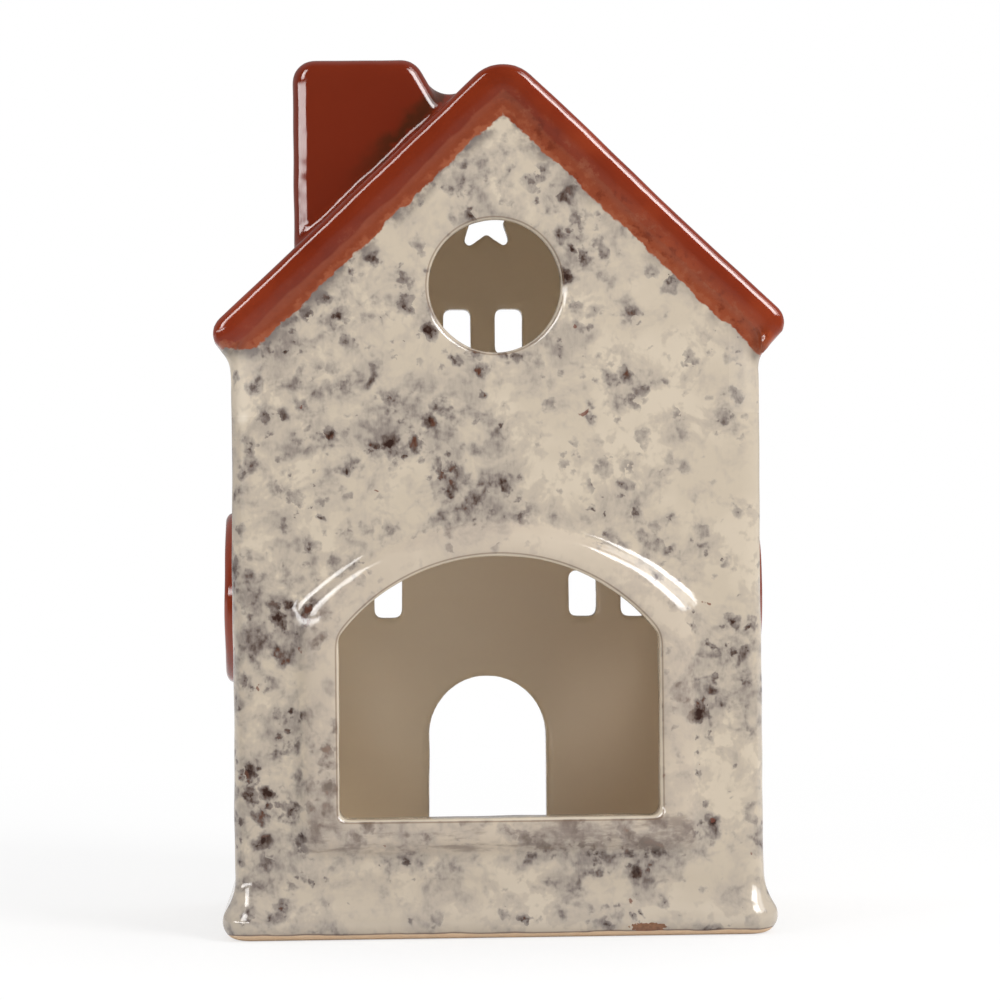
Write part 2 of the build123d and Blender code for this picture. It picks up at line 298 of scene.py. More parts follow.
def pool_glaze(surface, steps, rings):
    """Fill the hollow corners, as glaze pools in them, and leave the rest as it is."""
    limit = VOXEL ** 2 / 4 / pool_radius(surface.points)
    hollow = (surface.pull() * surface.normals()).sum(1) > limit
    for _ in range(rings):
        spread = hollow[surface.start] | hollow[surface.end]
        hollow[surface.start] |= spread
        hollow[surface.end] |= spread
    part, kept = surface.part(hollow)
    limit = limit[kept]
    inner = part.degree >= surface.degree[kept]
    for step in range(steps):
        if step % NORMAL_EVERY == 0:
            normals = part.normals()
        height = np.clip((part.pull() * normals).sum(1) - limit, 0, None) * inner
        part.points += POOL_SHARE * height[:, None] * normals
    surface.points[kept] = part.points


def smoothed(surface, chosen, share, steps):
    """Smooth the chosen points of the surface, each by its share."""
    part, kept = surface.part(chosen)
    share = share[kept] * (part.degree >= surface.degree[kept])
    for _ in range(steps):
        part.points += SOFT_SHARE * share[:, None] * part.pull()
    surface.points[kept] = part.points


def soften_surround(surface):
    """Round the outer edges of the candle opening's surround, but not its inner edge."""
    x, y, z = surface.points.T
    outline = np.maximum(np.hypot(x, z - arc_middle) - opening_arc, abs(x) - opening_half)
    outline = np.maximum(outline, opening_sill - z)
    share = np.clip((outline - SURROUND_CRISP) / SURROUND_FADE, 0, 1)
    share *= np.clip((surround_reach + 5 * SURROUND_FADE - outline) / SURROUND_FADE, 0, 1)
    front = (y < outer_front + VOXEL) & (z > foot_top)
    smoothed(surface, (share > 0) & front, share, SURROUND_SOFT_STEPS)


def soften_roof_joint(surface):
    """Smooth the bend from the roof's edge into the outside of the walls."""
    level = roof_level(surface.points)
    share = np.clip((level - JOINT_LOW) / JOINT_FADE, 0, 1)
    share *= np.clip((JOINT_HIGH - level) / JOINT_FADE, 0, 1)
    x, y, _ = surface.points.T
    off_corner = np.maximum(half_width - abs(x), np.minimum(y - outer_front, outer_back - y))
    off_corner = np.clip(off_corner / JOINT_FADE - 0.3, 0, 1)
    share *= np.maximum(off_corner, np.clip(level / JOINT_FADE + 1, 0, 1))
    outside = (abs(x) > half_width - VOXEL) | (y < outer_front + VOXEL) | (y > outer_back - VOXEL)
    smoothed(surface, (share > 0) & outside, share, JOINT_SOFT_STEPS)


def wave(points, seed, length):
    """Return a smooth field from -1 to 1 that repeats nowhere on the house."""
    random = np.random.default_rng(seed)
    total = np.zeros(len(points))
    directions = random.normal(size=(5, 3))
    for direction in directions / np.linalg.norm(directions, axis=1)[:, None]:
        turn = 2 * pi / (length * random.uniform(0.8, 1.3))
        total += np.sin(points @ direction * turn + random.uniform(0, 2 * pi))
    return total / len(directions)


def handmade(points):
    """Return how far each point lies off its true place."""
    shift = np.zeros_like(points)
    for axis in range(3):
        for number, (strength, length) in enumerate(WAVES):
            shift[:, axis] += strength * wave(points, WAVE_SEED + 10 * axis + number, length)
    rise = np.clip((points[:, 2] - RAW_EDGE) / foot_top, 0, 1)
    return shift * rise[:, None]


def glazed_skin():
    """Return the clay pieces as one glazed skin, its full normals and a tree of their places."""
    skin = joined_nodes(frame["record"]["behaviour"]["bodies"]["house"])
    apply_modifier(skin, "REMESH", mode="VOXEL", voxel_size=VOXEL)
    mesh = skin.data
    surface = Surface(read(mesh.vertices, "co", 3), read(mesh.edges, "vertices", 2, np.int64),
                      read(mesh.loops, "vertex_index", 1, np.int64).reshape(-1, 4))
    for _ in range(SOFT_STEPS):
        surface.points += SOFT_SHARE * surface.pull()
        surface.points -= UNSOFT_SHARE * surface.pull()
    pool_glaze(surface, POOL_STEPS, POOL_RINGS)
    curve_flank(surface)
    soften_roof_joint(surface)
    soften_surround(surface)
    surface.points += handmade(surface.points)
    mesh.vertices.foreach_set("co", surface.points.ravel())
    mesh.update()
    apply_modifier(skin, "DECIMATE", ratio=SKIN_FACES / (2 * len(mesh.polygons)))
    normals = surface.normals()
    for _ in range(NORMAL_STEPS):
        normals = (normals + surface.around(normals)) / 2
    tree = KDTree(surface.count)
    for number, point in enumerate(surface.points.tolist()):
        tree.insert(point, number)
    tree.balance()
    return skin, normals, tree


def close_to(node):
    """Return a test for faces whose middle lies in a node's box or close to it."""
    low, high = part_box(node)
    margin = 2 * RELIEF_POOL

    def test(face):
        """Say whether the face's middle lies there."""
        middle = face.calc_center_median()
        return all(low[k] - margin < middle[k] < high[k] + margin for k in range(3))
    return test


def cut_off(body, place, direction, zone=lambda face: True):
    """Cut what lies beyond a plane, in a zone, off the body as a closed piece."""
    faces = [face for face in body.faces if zone(face)]
    edges = dict.fromkeys(edge for face in faces for edge in face.edges)
    corners = dict.fromkeys(vert for edge in edges for vert in edge.verts)
    bmesh.ops.bisect_plane(body, geom=[*corners, *edges, *faces], dist=VOXEL / 100,
                           plane_co=place, plane_no=direction)
    chosen = [face for face in body.faces if zone(face)
              and (face.calc_center_median() - place).dot(direction) > 0]
    piece = bmesh.new()
    corners = dict.fromkeys(vert for face in chosen for vert in face.verts)
    copies = {vert: piece.verts.new(vert.co) for vert in corners}
    for face in chosen:
        piece.faces.new([copies[vert] for vert in face.verts])
    bmesh.ops.delete(body, geom=chosen, context="FACES")
    for part in (body, piece):
        rim = [edge for edge in part.edges if edge.is_boundary]
        bmesh.ops.triangle_fill(part, edges=rim, use_beauty=True)
        bmesh.ops.recalc_face_normals(part, faces=part.faces)
    return piece


def parted(skin):
    """Part the skin where the glazes change, into closed pieces by name."""
    body = bmesh.new()
    body.from_mesh(skin.data)
    across_ring = half_width + RING_CUT
    cuts = [
        ("raw_clay_base", Vector((0, 0, RAW_EDGE)), Vector((0, 0, -1))),
        ("left_roof", gable_top - left_normal * RED_EDGE, left_normal),
        ("right_roof", gable_top - right_normal * RED_EDGE, right_normal),
        ("left_window_ring", Vector((-across_ring, 0, 0)), Vector((-1, 0, 0)),
         close_to("left_side_window_ring")),
        ("right_window_ring", Vector((across_ring, 0, 0)), Vector((1, 0, 0)),
         close_to("right_side_window_ring")),
    ]
    pieces = {name: cut_off(body, *cut) for name, *cut in cuts}
    above_roof = gable_top + left_normal * (roof_thickness + CHIMNEY_CUT)
    pieces["chimney_stack"] = cut_off(pieces["left_roof"], above_roof, left_normal)
    pieces["glazed_walls"] = body
    return pieces


def with_skin_normals(name, piece, normals, tree):
    """Return the piece as an object with the whole skin's normals, so that no cut shows."""
    obj = as_object(name, piece)
    found = []
    for vert in obj.data.vertices:
        near = tree.find_n(vert.co, 4)
        normal = sum(normals[number] / (distance + VOXEL / 10) for _, number, distance in near)
        found.append(Vector(normal).normalized())
    obj.data.normals_split_custom_set_from_vertices(found)
    return obj


def glazed_pieces():
    """Return the skin's pieces by name."""
    skin, normals, tree = glazed_skin()
    pieces = {name: with_skin_normals(name, piece, normals, tree)
              for name, piece in parted(skin).items()}
    bpy.data.objects.remove(skin)
    return pieces


# Materials. Their coordinates are millimetres in the house's own frame.
def paint(red, green, blue):
    """Return a colour on the screen's scale of 255 as the shader's own colour."""
    shares = [value / 255 for value in (red, green, blue)]
    return [s / 12.92 if s <= 0.04045 else ((s + 0.055) / 1.055) ** 2.4 for s in shares] + [1]


def joining(operation, swapped=False):
    """Return a method that makes one value of two."""
    def method(self, other):
        """Join this value and another one."""
        return self.nodes.math(operation, *((other, self) if swapped else (self, other)))
    return method


class Value:
    """A number or vector that a node gives. To reckon with it adds nodes."""

    __add__ = __radd__ = joining("ADD")
    __sub__ = joining("SUBTRACT")
    __rsub__ = joining("SUBTRACT", swapped=True)
    __mul__ = __rmul__ = joining("MULTIPLY")
    __truediv__ = joining("DIVIDE")
    dot = joining("DOT_PRODUCT")

    def __init__(self, nodes, socket):
        """Take the nodes, and the socket that gives the value."""
        self.nodes = nodes
        self.socket = socket

    def __abs__(self):
        """Return the number without its sign."""
        return self.nodes.math("ABSOLUTE", self)

    def held(self):
        """Hold the number between 0 and 1."""
        self.socket.node.use_clamp = True
        return self

    def step(self, low, high, first=0, last=1, kind="SMOOTHSTEP"):
        """Return a number that runs from first to last while this one runs from low to high."""
        node = self.nodes.node("ShaderNodeMapRange", {"interpolation_type": kind})
        self.nodes.fill(node, {"Value": self, "From Min": low, "From Max": high,
                               "To Min": first, "To Max": last})
        return Value(self.nodes, node.outputs["Result"])

    def blend(self, first, second):
        """Return the first number where this one is 0, and the second where it is 1."""
        node = self.nodes.node("ShaderNodeMix", {"data_type": "FLOAT"})
        self.nodes.fill(node, {0: self, 2: first, 3: second})
        return Value(self.nodes, node.outputs[0])


class Nodes:
    """Builds a node tree from short calls."""

    def __init__(self, owner):
        """Give a material or the world its nodes."""
        owner.use_nodes = True
        self.tree = owner.node_tree

    def fill(self, node, inputs):
        """Link a node's inputs to sockets, or give them values."""
        for name, value in inputs.items():
            value = value.socket if isinstance(value, Value) else value
            if isinstance(value, bpy.types.NodeSocket):
                self.tree.links.new(value, node.inputs[name])
            else:
                node.inputs[name].default_value = value

    def node(self, kind, settings=None, **inputs):
        """Add a node with its settings and inputs."""
        node = self.tree.nodes.new(kind)
        for name, value in (settings or {}).items():
            setattr(node, name, value)
        self.fill(node, inputs)
        return node

    def math(self, operation, *values):
        """Return what an operation makes of numbers or of vectors."""
        vectors = any(isinstance(value, tuple) or isinstance(value, Value)
                      and value.socket.type != "VALUE" for value in values)
        node = self.node("ShaderNodeVectorMath" if vectors else "ShaderNodeMath",
                         {"operation": operation})
        self.fill(node, dict(enumerate(values)))
        return Value(self, node.outputs[1 if operation in ("DOT_PRODUCT", "LENGTH") else 0])

    def least(self, *values):
        """Return the least of numbers."""
        return reduce(lambda one, other: self.math("MINIMUM", one, other), values)

    def most(self, one, other):
        """Return the larger of two numbers."""
        return self.math("MAXIMUM", one, other)

    def reach(self, across, up):
        """Return the straight distance of a way across and then up."""
        return self.math("SQRT", across * across + up * up)

    def parts(self, vector):
        """Return the vector's three parts."""
        node = self.node("ShaderNodeSeparateXYZ", Vector=vector)
        return [Value(self, socket) for socket in node.outputs]


class Painter(Nodes):
    """Paints one material."""

    def __init__(self, name):
        """Start a material, with the object's coordinates in millimetres."""
        self.material = bpy.data.materials.new(name)
        super().__init__(self.material)
        self.shader = self.tree.nodes["Principled BSDF"]
        metres = Value(self, self.node("ShaderNodeTexCoord").outputs["Object"])
        self.place = metres * (1 / MM, 1 / MM, 1 / MM)
        self.x, self.y, self.z = self.parts(self.place)

    def off(self, place, weights):
        """Return the distance from a place, with each direction weighted."""
        return self.math("LENGTH", (self.place - place) * weights)

    def noise(self, size, detail=2.0, roughness=0.5, distortion=0.0, seed=0.0, stretch=(1, 1, 1)):
        """Return a noise whose marks are about that many millimetres across."""
        place = self.place * stretch + (seed, seed, seed)
        node = self.node("ShaderNodeTexNoise", Vector=place, Scale=1 / size, Detail=detail,
                         Roughness=roughness, Distortion=distortion)
        return Value(self, node.outputs["Fac"])

    def sway(self, size, **settings):
        """Return a noise that lies evenly about 0."""
        return self.noise(size, **settings) - 0.5

    def patches(self, size, low, high, **settings):
        """Return soft patches: 0 where a noise is below low, and 1 where it is above high."""
        return self.noise(size, **settings).step(low, high)

    def wobbled(self, size, marks, detail, share, seed):
        """Return places that stray from the true ones by a share of the size, in so many marks."""
        noise = self.node("ShaderNodeTexNoise", Vector=self.place, Scale=marks / size, Detail=detail)
        stray = (Value(self, noise.outputs["Color"]) - (0.5, 0.5, 0.5)) * ((size * share,) * 3)
        return self.place + stray + (seed, seed, seed)

    def spots(self, size, share, reach, crowd, seed, direction=(0, 0, 1), times=1):
        """Return nearness to scattered spots, from 1 in their middles to 0 at their edges.

        Share of the cells of that size have a spot, times as long in the direction as wide.
        """
        place = self.wobbled(size, 2.2, 2.5, 0.9, seed)
        direction = tuple(Vector(direction).normalized())
        place = place - place.dot(direction) * (1 - 1 / times) * direction
        cells = self.node("ShaderNodeTexVoronoi", Vector=place, Scale=1 / size).outputs
        chance = self.parts(cells["Color"])[0] + crowd
        radius = chance.step(1 - share, 1 - share * 0.25) * (reach / size) + 0.001
        return (1 - Value(self, cells["Distance"]) / radius).held()

    def web(self, size, width, seed):
        """Return a web of soft lines between cells of that many millimetres: 1 on the lines."""
        place = self.wobbled(size, 2, 2.0, 0.7, seed)
        cells = self.node("ShaderNodeTexVoronoi", {"feature": "DISTANCE_TO_EDGE"}, Vector=place,
                          Scale=1 / size)
        return Value(self, cells.outputs["Distance"]).step(width, 0)

    def mix(self, share, first, second, blend="MIX"):
        """Return a colour between two colours, or the first blended with the second."""
        node = self.node("ShaderNodeMix", {"data_type": "RGBA", "blend_type": blend})
        self.fill(node, {0: share, 6: first, 7: second})
        return node.outputs[2]

    def coated(self, colour, *coats):
        """Return the colour under coats of (share, colour), one over the other."""
        for share, coat in coats:
            colour = self.mix(share, colour, coat)
        return colour

    def ramp(self, value, stops):
        """Return the colour at a value, from (position, colour) stops."""
        node = self.node("ShaderNodeValToRGB", Fac=value)
        elements = node.color_ramp.elements
        while len(elements) < len(stops):
            elements.new(0.5)
        for element, (position, colour) in zip(elements, stops):
            element.position = position
            element.color = colour
        return node.outputs["Color"]

    def look(self, colour, roughness, relief):
        """Give the shader its colour, its roughness and a relief in millimetres."""
        bump = self.node("ShaderNodeBump", Height=relief, Distance=MM)
        self.fill(self.shader, {"Base Color": colour, "Roughness": roughness,
                                "Normal": bump.outputs["Normal"]})
        return self.material


# Colours of the cream glaze, with its stains by depth
CREAM_PALE = paint(214, 200, 180)
STAINS = ((0.0, paint(206, 192, 172)), (0.20, paint(194, 181, 165)), (0.38, paint(172, 161, 149)),
          (0.54, paint(144, 133, 125)), (0.70, paint(110, 97, 90)), (0.84, paint(80, 63, 55)),
          (1.0, paint(56, 38, 32)))
STAIN_WARM = paint(118, 74, 56)
SMUDGE = paint(118, 109, 105)
SPECK = paint(118, 66, 52)
SURROUND_TINT = paint(202, 186, 170)
SILL_STREAK = paint(130, 115, 106)
FOOT_TINT = paint(247, 248, 251)
RIM_BROWN = paint(128, 104, 84)
# Painted highlight along the edges of the front's openings
RIM_HIGHLIGHT = paint(232, 219, 198)

# Colours of the red glaze
BRICK = paint(131, 47, 24)
BRICK_DARK = paint(96, 30, 14)
BRICK_LIGHT = paint(146, 58, 30)
BRICK_DEEP = paint(112, 34, 10)
BRICK_BRIGHT = paint(166, 74, 38)
BRICK_THIN = paint(160, 88, 60)
# Thinner glaze under the roof's edge, lightened by a painted reflection
BRICK_THIN_GLAZE_AND_SHEEN = paint(148, 76, 50)
BRICK_STACK = paint(116, 41, 22)
# Painted shade at the chimney's foot, with glaze pooling there
OLIVE_SHADE_AND_POOL = paint(62, 38, 20)

# Colours of the room and of the clay
INSIDE = paint(255, 242, 221)
INSIDE_WARM = paint(252, 237, 214)
# Painted shade for the room's lower right
INSIDE_PAINTED_SHADE = paint(239, 222, 198)
CLAY = paint(230, 194, 158)
CLAY_PALE = paint(246, 220, 190)
BARE = paint(168, 118, 84)
GLAZE_RIM = paint(92, 62, 46)

# How much more often the sponge met a place: to the left, low down, and on the foot less
CROWD_LEFT = 0.0012
CROWD_LOW = 0.15
LOW_FROM, LOW_TO = 90, 12
CROWD_FOOT = -0.16
FOOT_FROM, FOOT_TO = 14, 6

# How much less it met the upper part of the arch, from and to two heights, and more beside it
ARCH_CALM = 0.14
ARCH_FROM, ARCH_TO = 58, 72
BESIDE_CROWD = 0.10

# Places that the sponge met more often: (x, z, reach, how much more), in millimetres
SPONGED = ((-4, 99, 15, 0.54), (-18, 112, 18, 0.22), (-49, 72, 17, 0.30), (-48, 46, 7, 0.14),
           (48, 60, 15, 0.30), (34, 17, 11, 0.36), (14, 18, 13, 0.40), (20, 160, 15, 0.22),
           (-3, 168, 14, 0.30), (30, 123, 9, 0.2), (-47, 128, 14, 0.12), (38, 50, 11, 0.22))

# The sponge's dabs: (cell, share of cells, reach, seed, direction, times as long, strength)
DABS = ((7.0, 0.50, 2.7, 3, (1, 1, 1.2), 1.7, 1.0),
        (4.0, 0.74, 2.15, 14, (1, 1, -1.2), 1.8, 0.85),
        (2.4, 0.45, 0.95, 25, (1, 1, 0.6), 1.6, 0.6))

# What each kind of mark adds to the stain
CLOUD_STAIN = 0.30
DAB_STAIN = 0.38
EDGE_STAIN = 0.11
DEEP_EDGE_STAIN = 0.10
CORE_STAIN = 0.15
WEB_STAIN = 0.18
MOTTLE_STAIN = 0.20
BRUSH_STAIN = 0.08
FUZZ_STAIN = 0.12


def above_roof_underside(p):
    """Return the height above the roof's underside, square to the slopes."""
    from_top = p.place - tuple(gable_top / MM)
    return p.most(from_top.dot(tuple(left_normal)), from_top.dot(tuple(right_normal)))


def sponge_crowd(p, calm):
    """Return how much more often the sponge met each place; calm is how much less it did."""
    crowd = (p.sway(30, seed=31) - p.x * CROWD_LEFT
             + p.z.step(LOW_FROM, LOW_TO, 0, CROWD_LOW)
             + p.z.step(FOOT_FROM, FOOT_TO, 0, CROWD_FOOT) - calm)
    for x, z, reach, more in SPONGED:
        crowd += p.off((x, 0, z), (1, 0, 1)).step(reach, reach * 0.3, 0, more)
    return crowd


def sponge_stain(p, crowd, fuzz):
    """Return how deep the stain of clouds, dabs and smears is at each place."""
    cloud = p.noise(9, detail=4, roughness=0.6, distortion=0.4, seed=17) + crowd * 0.30
    mottle = p.noise(4.2, roughness=0.55, seed=44) + crowd * 0.25
    depth = p.patches(7, 0.34, 0.60, detail=1, seed=47)
    dabs = 0
    for cell, share, reach, seed, direction, times, strength in DABS:
        dabs = p.most(dabs, p.spots(cell, share, reach, crowd, seed, direction, times) * strength)
    dabs = dabs * (fuzz * 0.8 + 1) * (depth * 0.6 + 0.4)
    smeared = p.noise(11, seed=66) + crowd * 0.3
    web = (p.web(5.5, 0.16, 9) * smeared.step(0.47, 0.60)
           * p.patches(2.2, 0.36, 0.60, seed=77))
    stain = (cloud.step(0.42, 0.68) * CLOUD_STAIN + dabs * DAB_STAIN
             + dabs.step(0.06, 0.30) * (depth * DEEP_EDGE_STAIN + EDGE_STAIN)
             + (fuzz * 0.5 + dabs).step(0.50, 0.68) * CORE_STAIN
             + web * WEB_STAIN + mottle.step(0.50, 0.72) * MOTTLE_STAIN)
    brushed = p.sway(0.7, detail=3, roughness=0.6, seed=5, stretch=(1, 1, 0.4))
    return stain + brushed * (stain * 0.5 + BRUSH_STAIN) + fuzz * FUZZ_STAIN


def sponged_cream(p, calm):
    """Return the colour of the walls: cream with soft grey clouds and the sponge's dark dabs."""
    fuzz = p.sway(1.5, detail=3, roughness=0.6, seed=41)
    stain = sponge_stain(p, sponge_crowd(p, calm), fuzz)
    warm = stain.step(0.62, 0.85) * p.patches(5, 0.54, 0.62, seed=70)
    pale = stain.step(0.12, 0) * p.patches(16, 0.42, 0.62, detail=3, seed=3)
    speck = p.spots(9, 0.28, 1.2, 0, 61) * (fuzz * 3 + 1)
    return p.coated(p.ramp(stain, STAINS), (warm * 0.5, STAIN_WARM), (pale, CREAM_PALE),
                    (speck.step(0.25, 0.5) * 0.75, SPECK))


def brick_glaze(p, level):
    """Return the red glaze's colour: paler under the roof's edge, from thinner glaze and a painted
    reflection, and dark at the chimney's foot, from painted shade and glaze pooling there.
    """
    deep = p.x.step(12, -4) * p.x.step(-56, -44)
    lively = p.x.step(14, 40) * level.step(2.4, -0.4)
    # Band under the roof's edge: thinner glaze, lightened by a painted reflection
    thin_glaze_and_sheen = level + p.sway(9, seed=85) * 2.4
    mottle = p.noise(3.6, detail=5, roughness=0.7, seed=86)
    below = level.step(2.4, -0.5) * p.x.step(-2, 10, 0.25, 1)
    over = level - roof_thickness / MM
    wavy = over + p.sway(4, detail=4, seed=88) * 7
    # Painted shade in the joint at the chimney's foot, with glaze pooling there
    shade_and_pool = wavy.step(6.5, 2.5) * wavy.step(0.2, 2) * p.x.step(-36, -20)
    return p.coated(BRICK, (p.patches(17, 0.35, 0.65, detail=3, seed=81), BRICK_LIGHT),
                    (deep * 0.6, BRICK_DEEP),
                    (lively * 0.75, BRICK_BRIGHT),
                    (p.patches(9, 0.50, 0.75, detail=3, seed=83) * 0.25, BRICK_DARK),
                    (thin_glaze_and_sheen.step(-0.2, -0.9) * p.x.step(2, 14, 0.66, 0.72), BRICK_THIN_GLAZE_AND_SHEEN),
                    (mottle.step(0.50, 0.36) * below * 0.5, BRICK_DARK),
                    (mottle.step(0.54, 0.66) * below * 0.75, BRICK_THIN),
                    (over.step(0.5, 3) * 0.8, BRICK_STACK),
                    (shade_and_pool * 0.75, OLIVE_SHADE_AND_POOL))


# How the red glaze ends: its wavering, and how far it stays above each eave's corner
RAGGED = 3.0
RAGGED_FINE = 1.0
RED_OVER_LEFT_EAVE = -0.3
RED_OVER_RIGHT_EAVE = -7.4
CORNER_FROM = half_width / MM - 9
CORNER_TO = half_width / MM - 3
RING_OVERLAP = 0.9


def red_share(p, level):
    """Return where the glaze is red, how far a place lies inside the red edge, and the rings."""
    ragged = (p.sway(7, detail=3, roughness=0.55, seed=51) * RAGGED
              + p.sway(1.3, seed=53) * RAGGED_FINE)
    eave = p.x.step(-1, 1, left_eave.z / MM + RED_OVER_LEFT_EAVE,
                    right_eave.z / MM + RED_OVER_RIGHT_EAVE)
    corner = abs(p.x).step(CORNER_FROM, CORNER_TO)
    edge = level + RED_EDGE / MM
    edge = corner.blend(edge, p.least(edge, p.z - eave)) + ragged

    ring_middle = (ring_low.z + ring_high.z) / 2 / MM
    ring_reach = ring_high.z / MM - ring_middle + RING_OVERLAP
    in_ring = ring_reach - p.reach(p.y, p.z - ring_middle) + ragged * 0.25
    past_wall = abs(p.x) - (half_width + RING_CUT * 0.3) / MM
    ring = in_ring.step(-0.2, 0.2) * past_wall.step(-0.3, 0.1)
    return p.most(edge.step(-0.22, 0.22), ring), edge, ring


def room_share(p, level):
    """Return 1 on the surfaces of the room."""
    depth = p.least(inner_side / MM - abs(p.x), p.y - inner_front / MM, inner_back / MM - p.y,
                    p.z - (floor_top - MM) / MM, 1.2 - level)
    return depth.step(-0.9, -0.3)


def off_openings(p):
    """Return how far a place lies outside the candle opening, and outside the round hole."""
    outline = p.reach(p.x, p.z - arc_middle / MM) - opening_arc / MM
    outline = p.math("SMOOTH_MAX", outline, abs(p.x) - opening_half / MM, 2.5)
    outline = p.math("SMOOTH_MAX", outline, opening_sill / MM - p.z, 3.5)
    return outline, p.reach(p.x, p.z - gable_hole_middle / MM) - gable_hole_radius / MM


def wall_glaze(p, edge, opening, front):
    """Return the cream glaze, with less of the sponge on the arch and more beside it, streaks on the
    sill, a tint that darkens towards the foot and grey smudges under the red edge.
    """
    width = surround_reach / MM
    sill = opening_sill / MM
    surround = opening.step(width + 0.3, width - 1.5) * front
    on_arch = surround * p.z.step(ARCH_FROM, ARCH_TO)
    beside = opening.step(width - 0.5, width + 0.6) * opening.step(width + 5, width + 1.5) * front
    streak = p.patches(3, 0.44, 0.66, detail=4, roughness=0.65, seed=64, stretch=(0.3, 1, 1))
    on_sill = surround * p.z.step(sill + 2, sill - 1)
    colour = p.coated(sponged_cream(p, on_arch * ARCH_CALM - beside * BESIDE_CROWD),
                      (surround * 0.3, SURROUND_TINT), (streak * on_sill * 0.65, SILL_STREAK))
    colour = p.mix(p.z.step(foot_top / MM + 8, 2), colour, FOOT_TINT, "MULTIPLY")
    smudge = edge.step(-3.6, 0.4) * p.patches(7, 0.38, 0.56, detail=4, roughness=0.6, seed=61)
    return p.mix(smudge * p.x.step(5, 25, 0.95, 0.35), colour, SMUDGE)


def room_glaze(p):
    """Return the room's plain pale glaze, with painted shade low on the right."""
    lines = p.noise(2.4, detail=3, seed=92, stretch=(0.06, 0.06, 1))
    warm = (lines + p.noise(30, seed=90)) * 0.5
    # Painted shade low on the right of the room
    painted_shade_low_right = p.x.step(-22, 24) * p.z.step(128, 108)
    return p.coated(INSIDE, (warm, INSIDE_WARM), (painted_shade_low_right, INSIDE_PAINTED_SHADE))


def with_opening_rims(p, colour, opening, hole, front):
    """Return the colour with a painted highlight line and a brown line of thin glaze round the
    front's openings.
    """
    # A painted highlight line at the openings' edges, and a brown line where the glaze is thin
    rim = p.least(abs(opening - 0.1), abs(hole - 0.15))
    return p.coated(colour, (abs(rim - 0.5).step(0.24, 0.08) * front * 0.55, RIM_BROWN),
                    (rim.step(0.34, 0.14) * front * 0.75, RIM_HIGHLIGHT))


# A bare patch near the foot's edge, in millimetres, with weights that make it flat
BARE_PLACE = (32.5, 0, 2.2)
BARE_WEIGHTS = (0.22, 0, 0.8)


def with_raw_foot(p, colour):
    """Return the colour with the bare patch and the raw foot, and where the clay is raw."""
    above = p.z - RAW_EDGE / MM + p.sway(9, seed=95) * 1.1
    raw = above.step(0.12, -0.05)
    bare = p.noise(0.9, detail=3, seed=96) * 1.2 + 0.3 - p.off(BARE_PLACE, BARE_WEIGHTS)
    bare = bare.step(0, 0.12) * p.y.step(-20, -30)
    patch = p.mix(p.noise(0.8, detail=3, seed=98), BARE, GLAZE_RIM)
    clay = p.mix(p.noise(2.5, detail=5, roughness=0.7, seed=97), CLAY, CLAY_PALE)
    colour = p.coated(colour, (above.step(0.55, 0.1) * 0.75, GLAZE_RIM), (bare, patch), (raw, clay))
    return colour, raw


# Roughness of the glaze, its dusty corners under the eaves, the room and the clay
GLOSS = (0.07, 0.14)
DUSTY_GLOSS = 0.45
ROOM_GLOSS = 0.3
RAW_GLOSS = 0.85
DUSTY_FROM, DUSTY_TO = left_eave.z / MM - 18, left_eave.z / MM - 13


def house_glaze():
    """Return the house's material: brick red roof, sponged cream walls, raw clay at the foot."""
    p = Painter("house_glaze")
    level = above_roof_underside(p)
    red, edge, ring = red_share(p, level)
    inside = room_share(p, level)
    opening, hole = off_openings(p)
    front = p.y.step(outer_front / MM + 1.5, outer_front / MM)
    flakes = p.sway(1.6, seed=58) * 3.5 + edge
    thin = flakes.step(1.5, 0.5) * p.patches(6, 0.40, 0.55, seed=57)
    roof = brick_glaze(p, ring.blend(level, roof_thickness / 2 / MM))
    roof = p.mix((thin - ring).held(), roof, BRICK_THIN)
    colour = p.coated(wall_glaze(p, edge, opening, front), (red, roof), (inside, room_glaze(p)))
    colour = with_opening_rims(p, colour, opening, hole, front)
    colour, raw = with_raw_foot(p, colour)

    corner = abs(p.x).step(CORNER_FROM, half_width / MM - 5)
    dusty = corner * p.z.step(DUSTY_FROM, DUSTY_TO) * (1 - red)
    roughness = inside.blend(p.noise(4, seed=99).blend(*GLOSS), ROOM_GLOSS)
    roughness = raw.blend(dusty.blend(roughness, DUSTY_GLOSS), RAW_GLOSS)
    relief = (p.noise(7, detail=1.5, seed=101) * 0.16
              + p.noise(1.6, seed=103) * red.blend(0.010, 0.004)
              + red * edge.step(0, 1.2) * 0.10
              + p.noise(0.35, detail=3, seed=107) * raw * 0.08)
    return p.look(colour, roughness, relief)


def cup_metal():
    """Return the tealight cup's thin aluminium, with faint marks of its drawing."""
    p = Painter("cup_metal")
    p.fill(p.shader, {"Metallic": 1})
    streaks = p.noise(0.6, detail=4, seed=3, stretch=(1, 1, 0.12))
    colour = p.mix(p.noise(5, detail=3, seed=5), paint(225, 225, 228), paint(205, 205, 210))
    return p.look(colour, streaks.blend(0.22, 0.42), streaks * 0.012)


def wax():
    """Return white wax that lets a little light in."""
    p = Painter("wax")
    p.fill(p.shader, {"Subsurface Weight": 0.25, "Subsurface Scale": 2 * MM,
                      "Subsurface Radius": (1.0, 0.8, 0.6)})
    cloud = p.noise(6, detail=4, roughness=0.6, seed=11)
    colour = p.mix(cloud, paint(240, 238, 230), paint(228, 225, 214))
    roughness = p.noise(2, detail=3, seed=13).blend(0.38, 0.55)
    return p.look(colour, roughness, p.noise(0.5, detail=3, seed=15) * 0.02 + cloud * 0.08)


